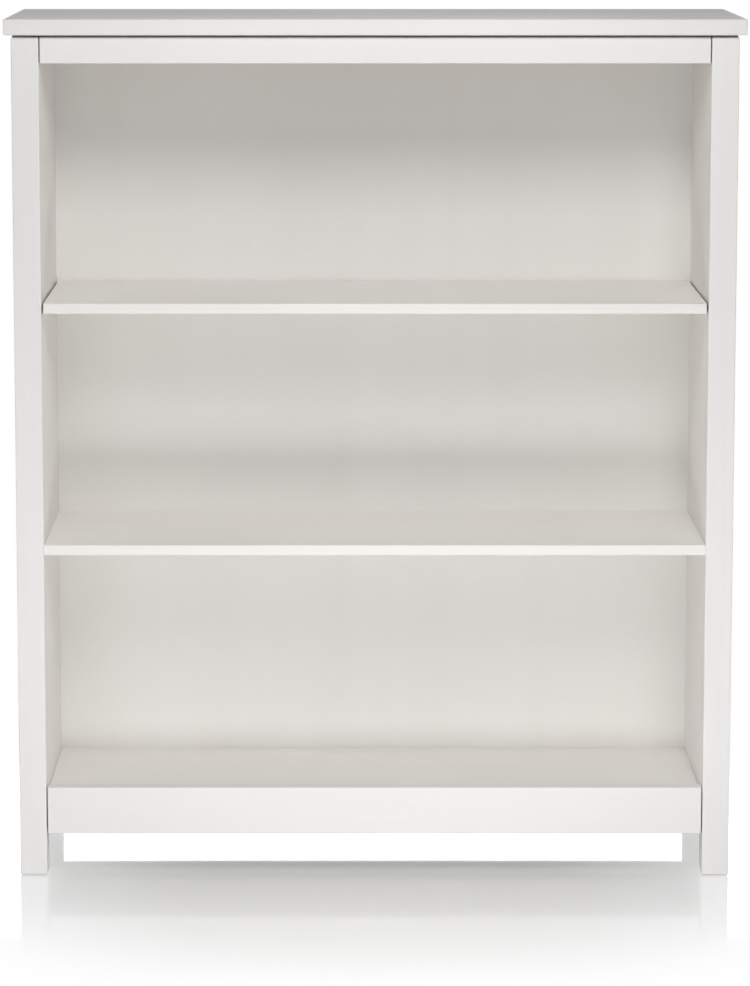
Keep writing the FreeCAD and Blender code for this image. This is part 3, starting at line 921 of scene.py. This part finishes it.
@dataclass
class Studio:
    """A pale floor, soft lamps, a white surround and the camera."""

    floor_radius: float = 30.0
    floor_steps: int = 96
    floor_colour: Colour = (0.82, 0.82, 0.82)
    # The oval of painted shade round the object: the lift inside it, its reach across and ahead, and the
    # core where it is fullest.
    shade_lift: float = 0.21
    shade_across: float = 0.58
    shade_ahead: float = 0.75
    shade_core: float = 0.35
    gloss_share: float = 0.28
    gloss_reach: float = 0.40
    gloss_roughness: float = 0.05
    ambient: float = 0.10
    camera_place: Triple = (-0.0351, -4.9389, 1.2892)
    camera_pitch: float = 7.99
    lens: float = 142.0
    shift_right: float = 0.0287
    shift_down: float = 0.1

    LAMPS = (
        Lamp("left_key", (-1.20, -3.00, 2.10), (0.0, 0.0, 0.70), 0.9, 0.9, 4.6),
        Lamp("right_key", (0.50, -2.00, 1.75), (0.0, 0.0, 0.75), 0.5, 0.5, 7.3),
        Lamp("near_key", (0.00, -1.30, 1.71), (0.0, 0.0, 0.80), 0.4, 0.4, 8.2),
        Lamp("over_key", (0.00, -1.00, 2.60), (0.0, 0.0, 0.60), 1.6, 0.6, 2.7),
        Lamp("low_strip", (0.00, -0.95, 0.125), (0.0, 0.0, 0.42), 1.4, 0.17, 4.35),
        Lamp("left_fill", (-3.0, 0.5, 0.52), (0.0, 0.3, 0.52), 2.0, 1.0, 28.0, False),
        Lamp("right_fill", (3.0, 0.5, 0.52), (0.0, 0.3, 0.52), 2.0, 1.0, 26.0, False),
        Lamp("rear_fill", (0.0, 3.2, 0.52), (0.0, 0.1, 0.52), 3.0, 1.0, 42.0),
    )

    def seen_directly(self, graph: Graph) -> Socket:
        """Tells the rays that show a thing from those that only light things.

        Args:
            graph: the floor's or the world's graph.

        Returns:
            1 for rays from the camera, a mirror or glass, and 0 for the others.
        """
        rays = graph.add("ShaderNodeLightPath").outputs
        mirrored = graph.math("MAXIMUM", rays["Is Glossy Ray"], rays["Is Transmission Ray"])
        return graph.math("MAXIMUM", rays["Is Camera Ray"], mirrored)

    def light_world(self) -> None:
        """A dim, even surround that shows as white."""
        world = bpy.data.worlds.new("surround")
        bpy.context.scene.world = world
        graph = Graph(world)
        dim = graph.add("ShaderNodeBackground", {"Color": WHITE, "Strength": self.ambient})
        white = graph.add("ShaderNodeBackground", {"Color": WHITE, "Strength": 1.0})
        inputs = {0: self.seen_directly(graph), 1: dim.outputs[0], 2: white.outputs[0]}
        graph.surface(graph.add("ShaderNodeMixShader", inputs))

    def spread(self, graph: Graph, point: Socket, half_sizes: Pair, reaches: Pair) -> Socket:
        """How far a floor point lies outside a rectangle round the origin, as a share of a reach.

        Args:
            graph: the floor's graph.
            point: object coordinates.
            half_sizes: of the rectangle, along X and Y.
            reaches: the distance along X and Y that counts as 1.

        Returns:
            0 on the rectangle, and 1 on the rim of an oval round it.
        """
        parts = graph.add("ShaderNodeSeparateXYZ", {0: point}).outputs
        squares = []
        for axis, (half, reach) in enumerate(zip(half_sizes, reaches)):
            off_middle = graph.math("ABSOLUTE", parts[axis])
            outside = graph.math("MAXIMUM", graph.math("SUBTRACT", off_middle, half), 0.0)
            share = graph.math("DIVIDE", outside, reach)
            squares.append(graph.math("MULTIPLY", share, share))
        return graph.math("SQRT", graph.math("ADD", *squares))

    def floor_material(self) -> bpy.types.Material:
        """A floor that keeps the object's shadow and a polish near it, greyer inside an oval of painted
        shade round the object, and shows as white further off.

        Returns:
            The material.
        """
        graph = new_graph("studio_floor")
        point = graph.point()
        seen = self.seen_directly(graph)
        matt = graph.add("ShaderNodeBsdfDiffuse", {"Color": (*self.floor_colour, 1.0)})
        lift = graph.add("ShaderNodeEmission", {"Strength": graph.math("MULTIPLY", seen, self.shade_lift)})
        shaded = graph.add("ShaderNodeAddShader", {0: matt.outputs[0], 1: lift.outputs[0]})
        white = graph.add("ShaderNodeEmission", {"Strength": 1.0})
        half_width, half_depth = CAD_BOX[1].x, CAD_BOX[1].y
        # Painted shade: inside this oval the floor shows as lit matte floor with only a small lift, greyer
        # than the white beyond, on top of its real shadows.
        off_shade = self.spread(graph, point, (0.0, half_depth), (self.shade_across, self.shade_ahead))
        far_off = graph.span(off_shade, 0.0, 1.0, self.shade_core)
        inputs = {0: graph.math("MULTIPLY", far_off, seen), 1: shaded.outputs[0], 2: white.outputs[0]}
        ground = graph.add("ShaderNodeMixShader", inputs)
        polish = graph.add("ShaderNodeBsdfGlossy", {"Roughness": self.gloss_roughness})
        reaches = (self.gloss_reach, self.gloss_reach)
        off_object = self.spread(graph, point, (half_width, half_depth), reaches)
        gloss = graph.span(off_object, self.gloss_share, 0.0)
        camera_ray = graph.add("ShaderNodeLightPath").outputs["Is Camera Ray"]
        inputs = {0: graph.math("MULTIPLY", gloss, camera_ray), 1: ground.outputs[0], 2: polish.outputs[0]}
        graph.surface(graph.add("ShaderNodeMixShader", inputs))
        return graph.owner

    def lay_floor(self) -> None:
        """A wide round floor at z = 0."""
        mesh = bpy.data.meshes.new("floor")
        shape = bmesh.new()
        bmesh.ops.create_circle(shape, cap_ends=True, segments=self.floor_steps, radius=self.floor_radius)
        shape.to_mesh(mesh)
        shape.free()
        mesh.materials.append(self.floor_material())
        floor = bpy.data.objects.new("floor", mesh)
        bpy.context.scene.collection.objects.link(floor)
        LOG.info("laid the floor")

    def set_camera(self) -> None:
        """A long lens at the height of a standing viewer, tilted down a little."""
        camera = bpy.data.cameras.new("camera")
        camera.lens = self.lens
        camera.shift_x = self.shift_right
        camera.shift_y = -self.shift_down
        viewer = bpy.data.objects.new("camera", camera)
        viewer.location = self.camera_place
        viewer.rotation_euler = (math.radians(90.0 - self.camera_pitch), 0.0, 0.0)
        bpy.context.scene.collection.objects.link(viewer)
        bpy.context.scene.camera = viewer

    def build(self) -> None:
        """Sets up the surround, floor, lamps and camera."""
        bpy.context.scene.view_settings.view_transform = "Standard"
        self.light_world()
        self.lay_floor()
        for lamp in self.LAMPS:
            lamp.hang()
        self.set_camera()


def main() -> None:
    """Dresses the bookcase piece by piece, then sets up the studio."""
    logging.basicConfig(level=logging.INFO, format="%(message)s")
    corners = [(row.value, side.value) for row in Row for side in Side]
    posts = {f"{row}_post_{side}": Grain.UPRIGHT for row, side in corners}
    top = {"top_panel": Grain.ACROSS}
    cleats = {f"{row.value}_bottom_cleat": Grain.ACROSS for row in Row}
    rail_names = ("header_rail", "bottom_apron", "rear_top_rail", "rear_bottom_rail")
    rails = dict.fromkeys(rail_names, Grain.ACROSS)
    panels = {f"side_panel_{side.value}": Grain.UPRIGHT for side in Side}
    fixed_shelves = dict.fromkeys(("middle_shelf", "bottom_shelf"), Grain.ACROSS)
    loose_shelf = {"upper_shelf": Grain.ACROSS}
    # The third value leaves the rails' and the loose shelf's ends dark: bare end grain and painted shade
    # in the joint gaps.
    painted = (
        (posts | top | cleats, FRAME_PAINT, False),
        (rails, FRAME_PAINT, True),
        (panels | fixed_shelves, INNER_PAINT, False),
        (loose_shelf, INNER_PAINT, True),
    )
    number = 1
    for boards, paint, bare_ends_gap_shade in painted:
        PaintedBoards(boards, paint, number, bare_ends_gap_shade).dress()
        number += len(boards)
    BackBoard().dress()
    wooden = ("front_top_cleat", "rear_top_cleat", "rail_dowels", "shelf_dowels")
    WoodenPieces(dict.fromkeys(wooden, Grain.ACROSS)).dress()
    steel = PLATED_STEEL.material("plated_steel")
    zinc = CAST_ZINC.material("cast_zinc")
    nylon = Nylon().material("grey_nylon")
    glides = [f"foot_glide_{row}_{side}" for row, side in corners]
    screws = ("top_screws", "bottom_screws", "cleat_screws", "bracket_screws")
    Hardware(("cam_bolts", *screws), steel).dress()
    Hardware(("cam_locks",), zinc).dress()
    Hardware(("post_packers", "header_packer", *glides), nylon).dress()
    ShelfPins(steel).build()
    for side in Side:
        StrapBracket(zinc, side).build()
    Studio().build()


if __name__ == "__main__":
    main()
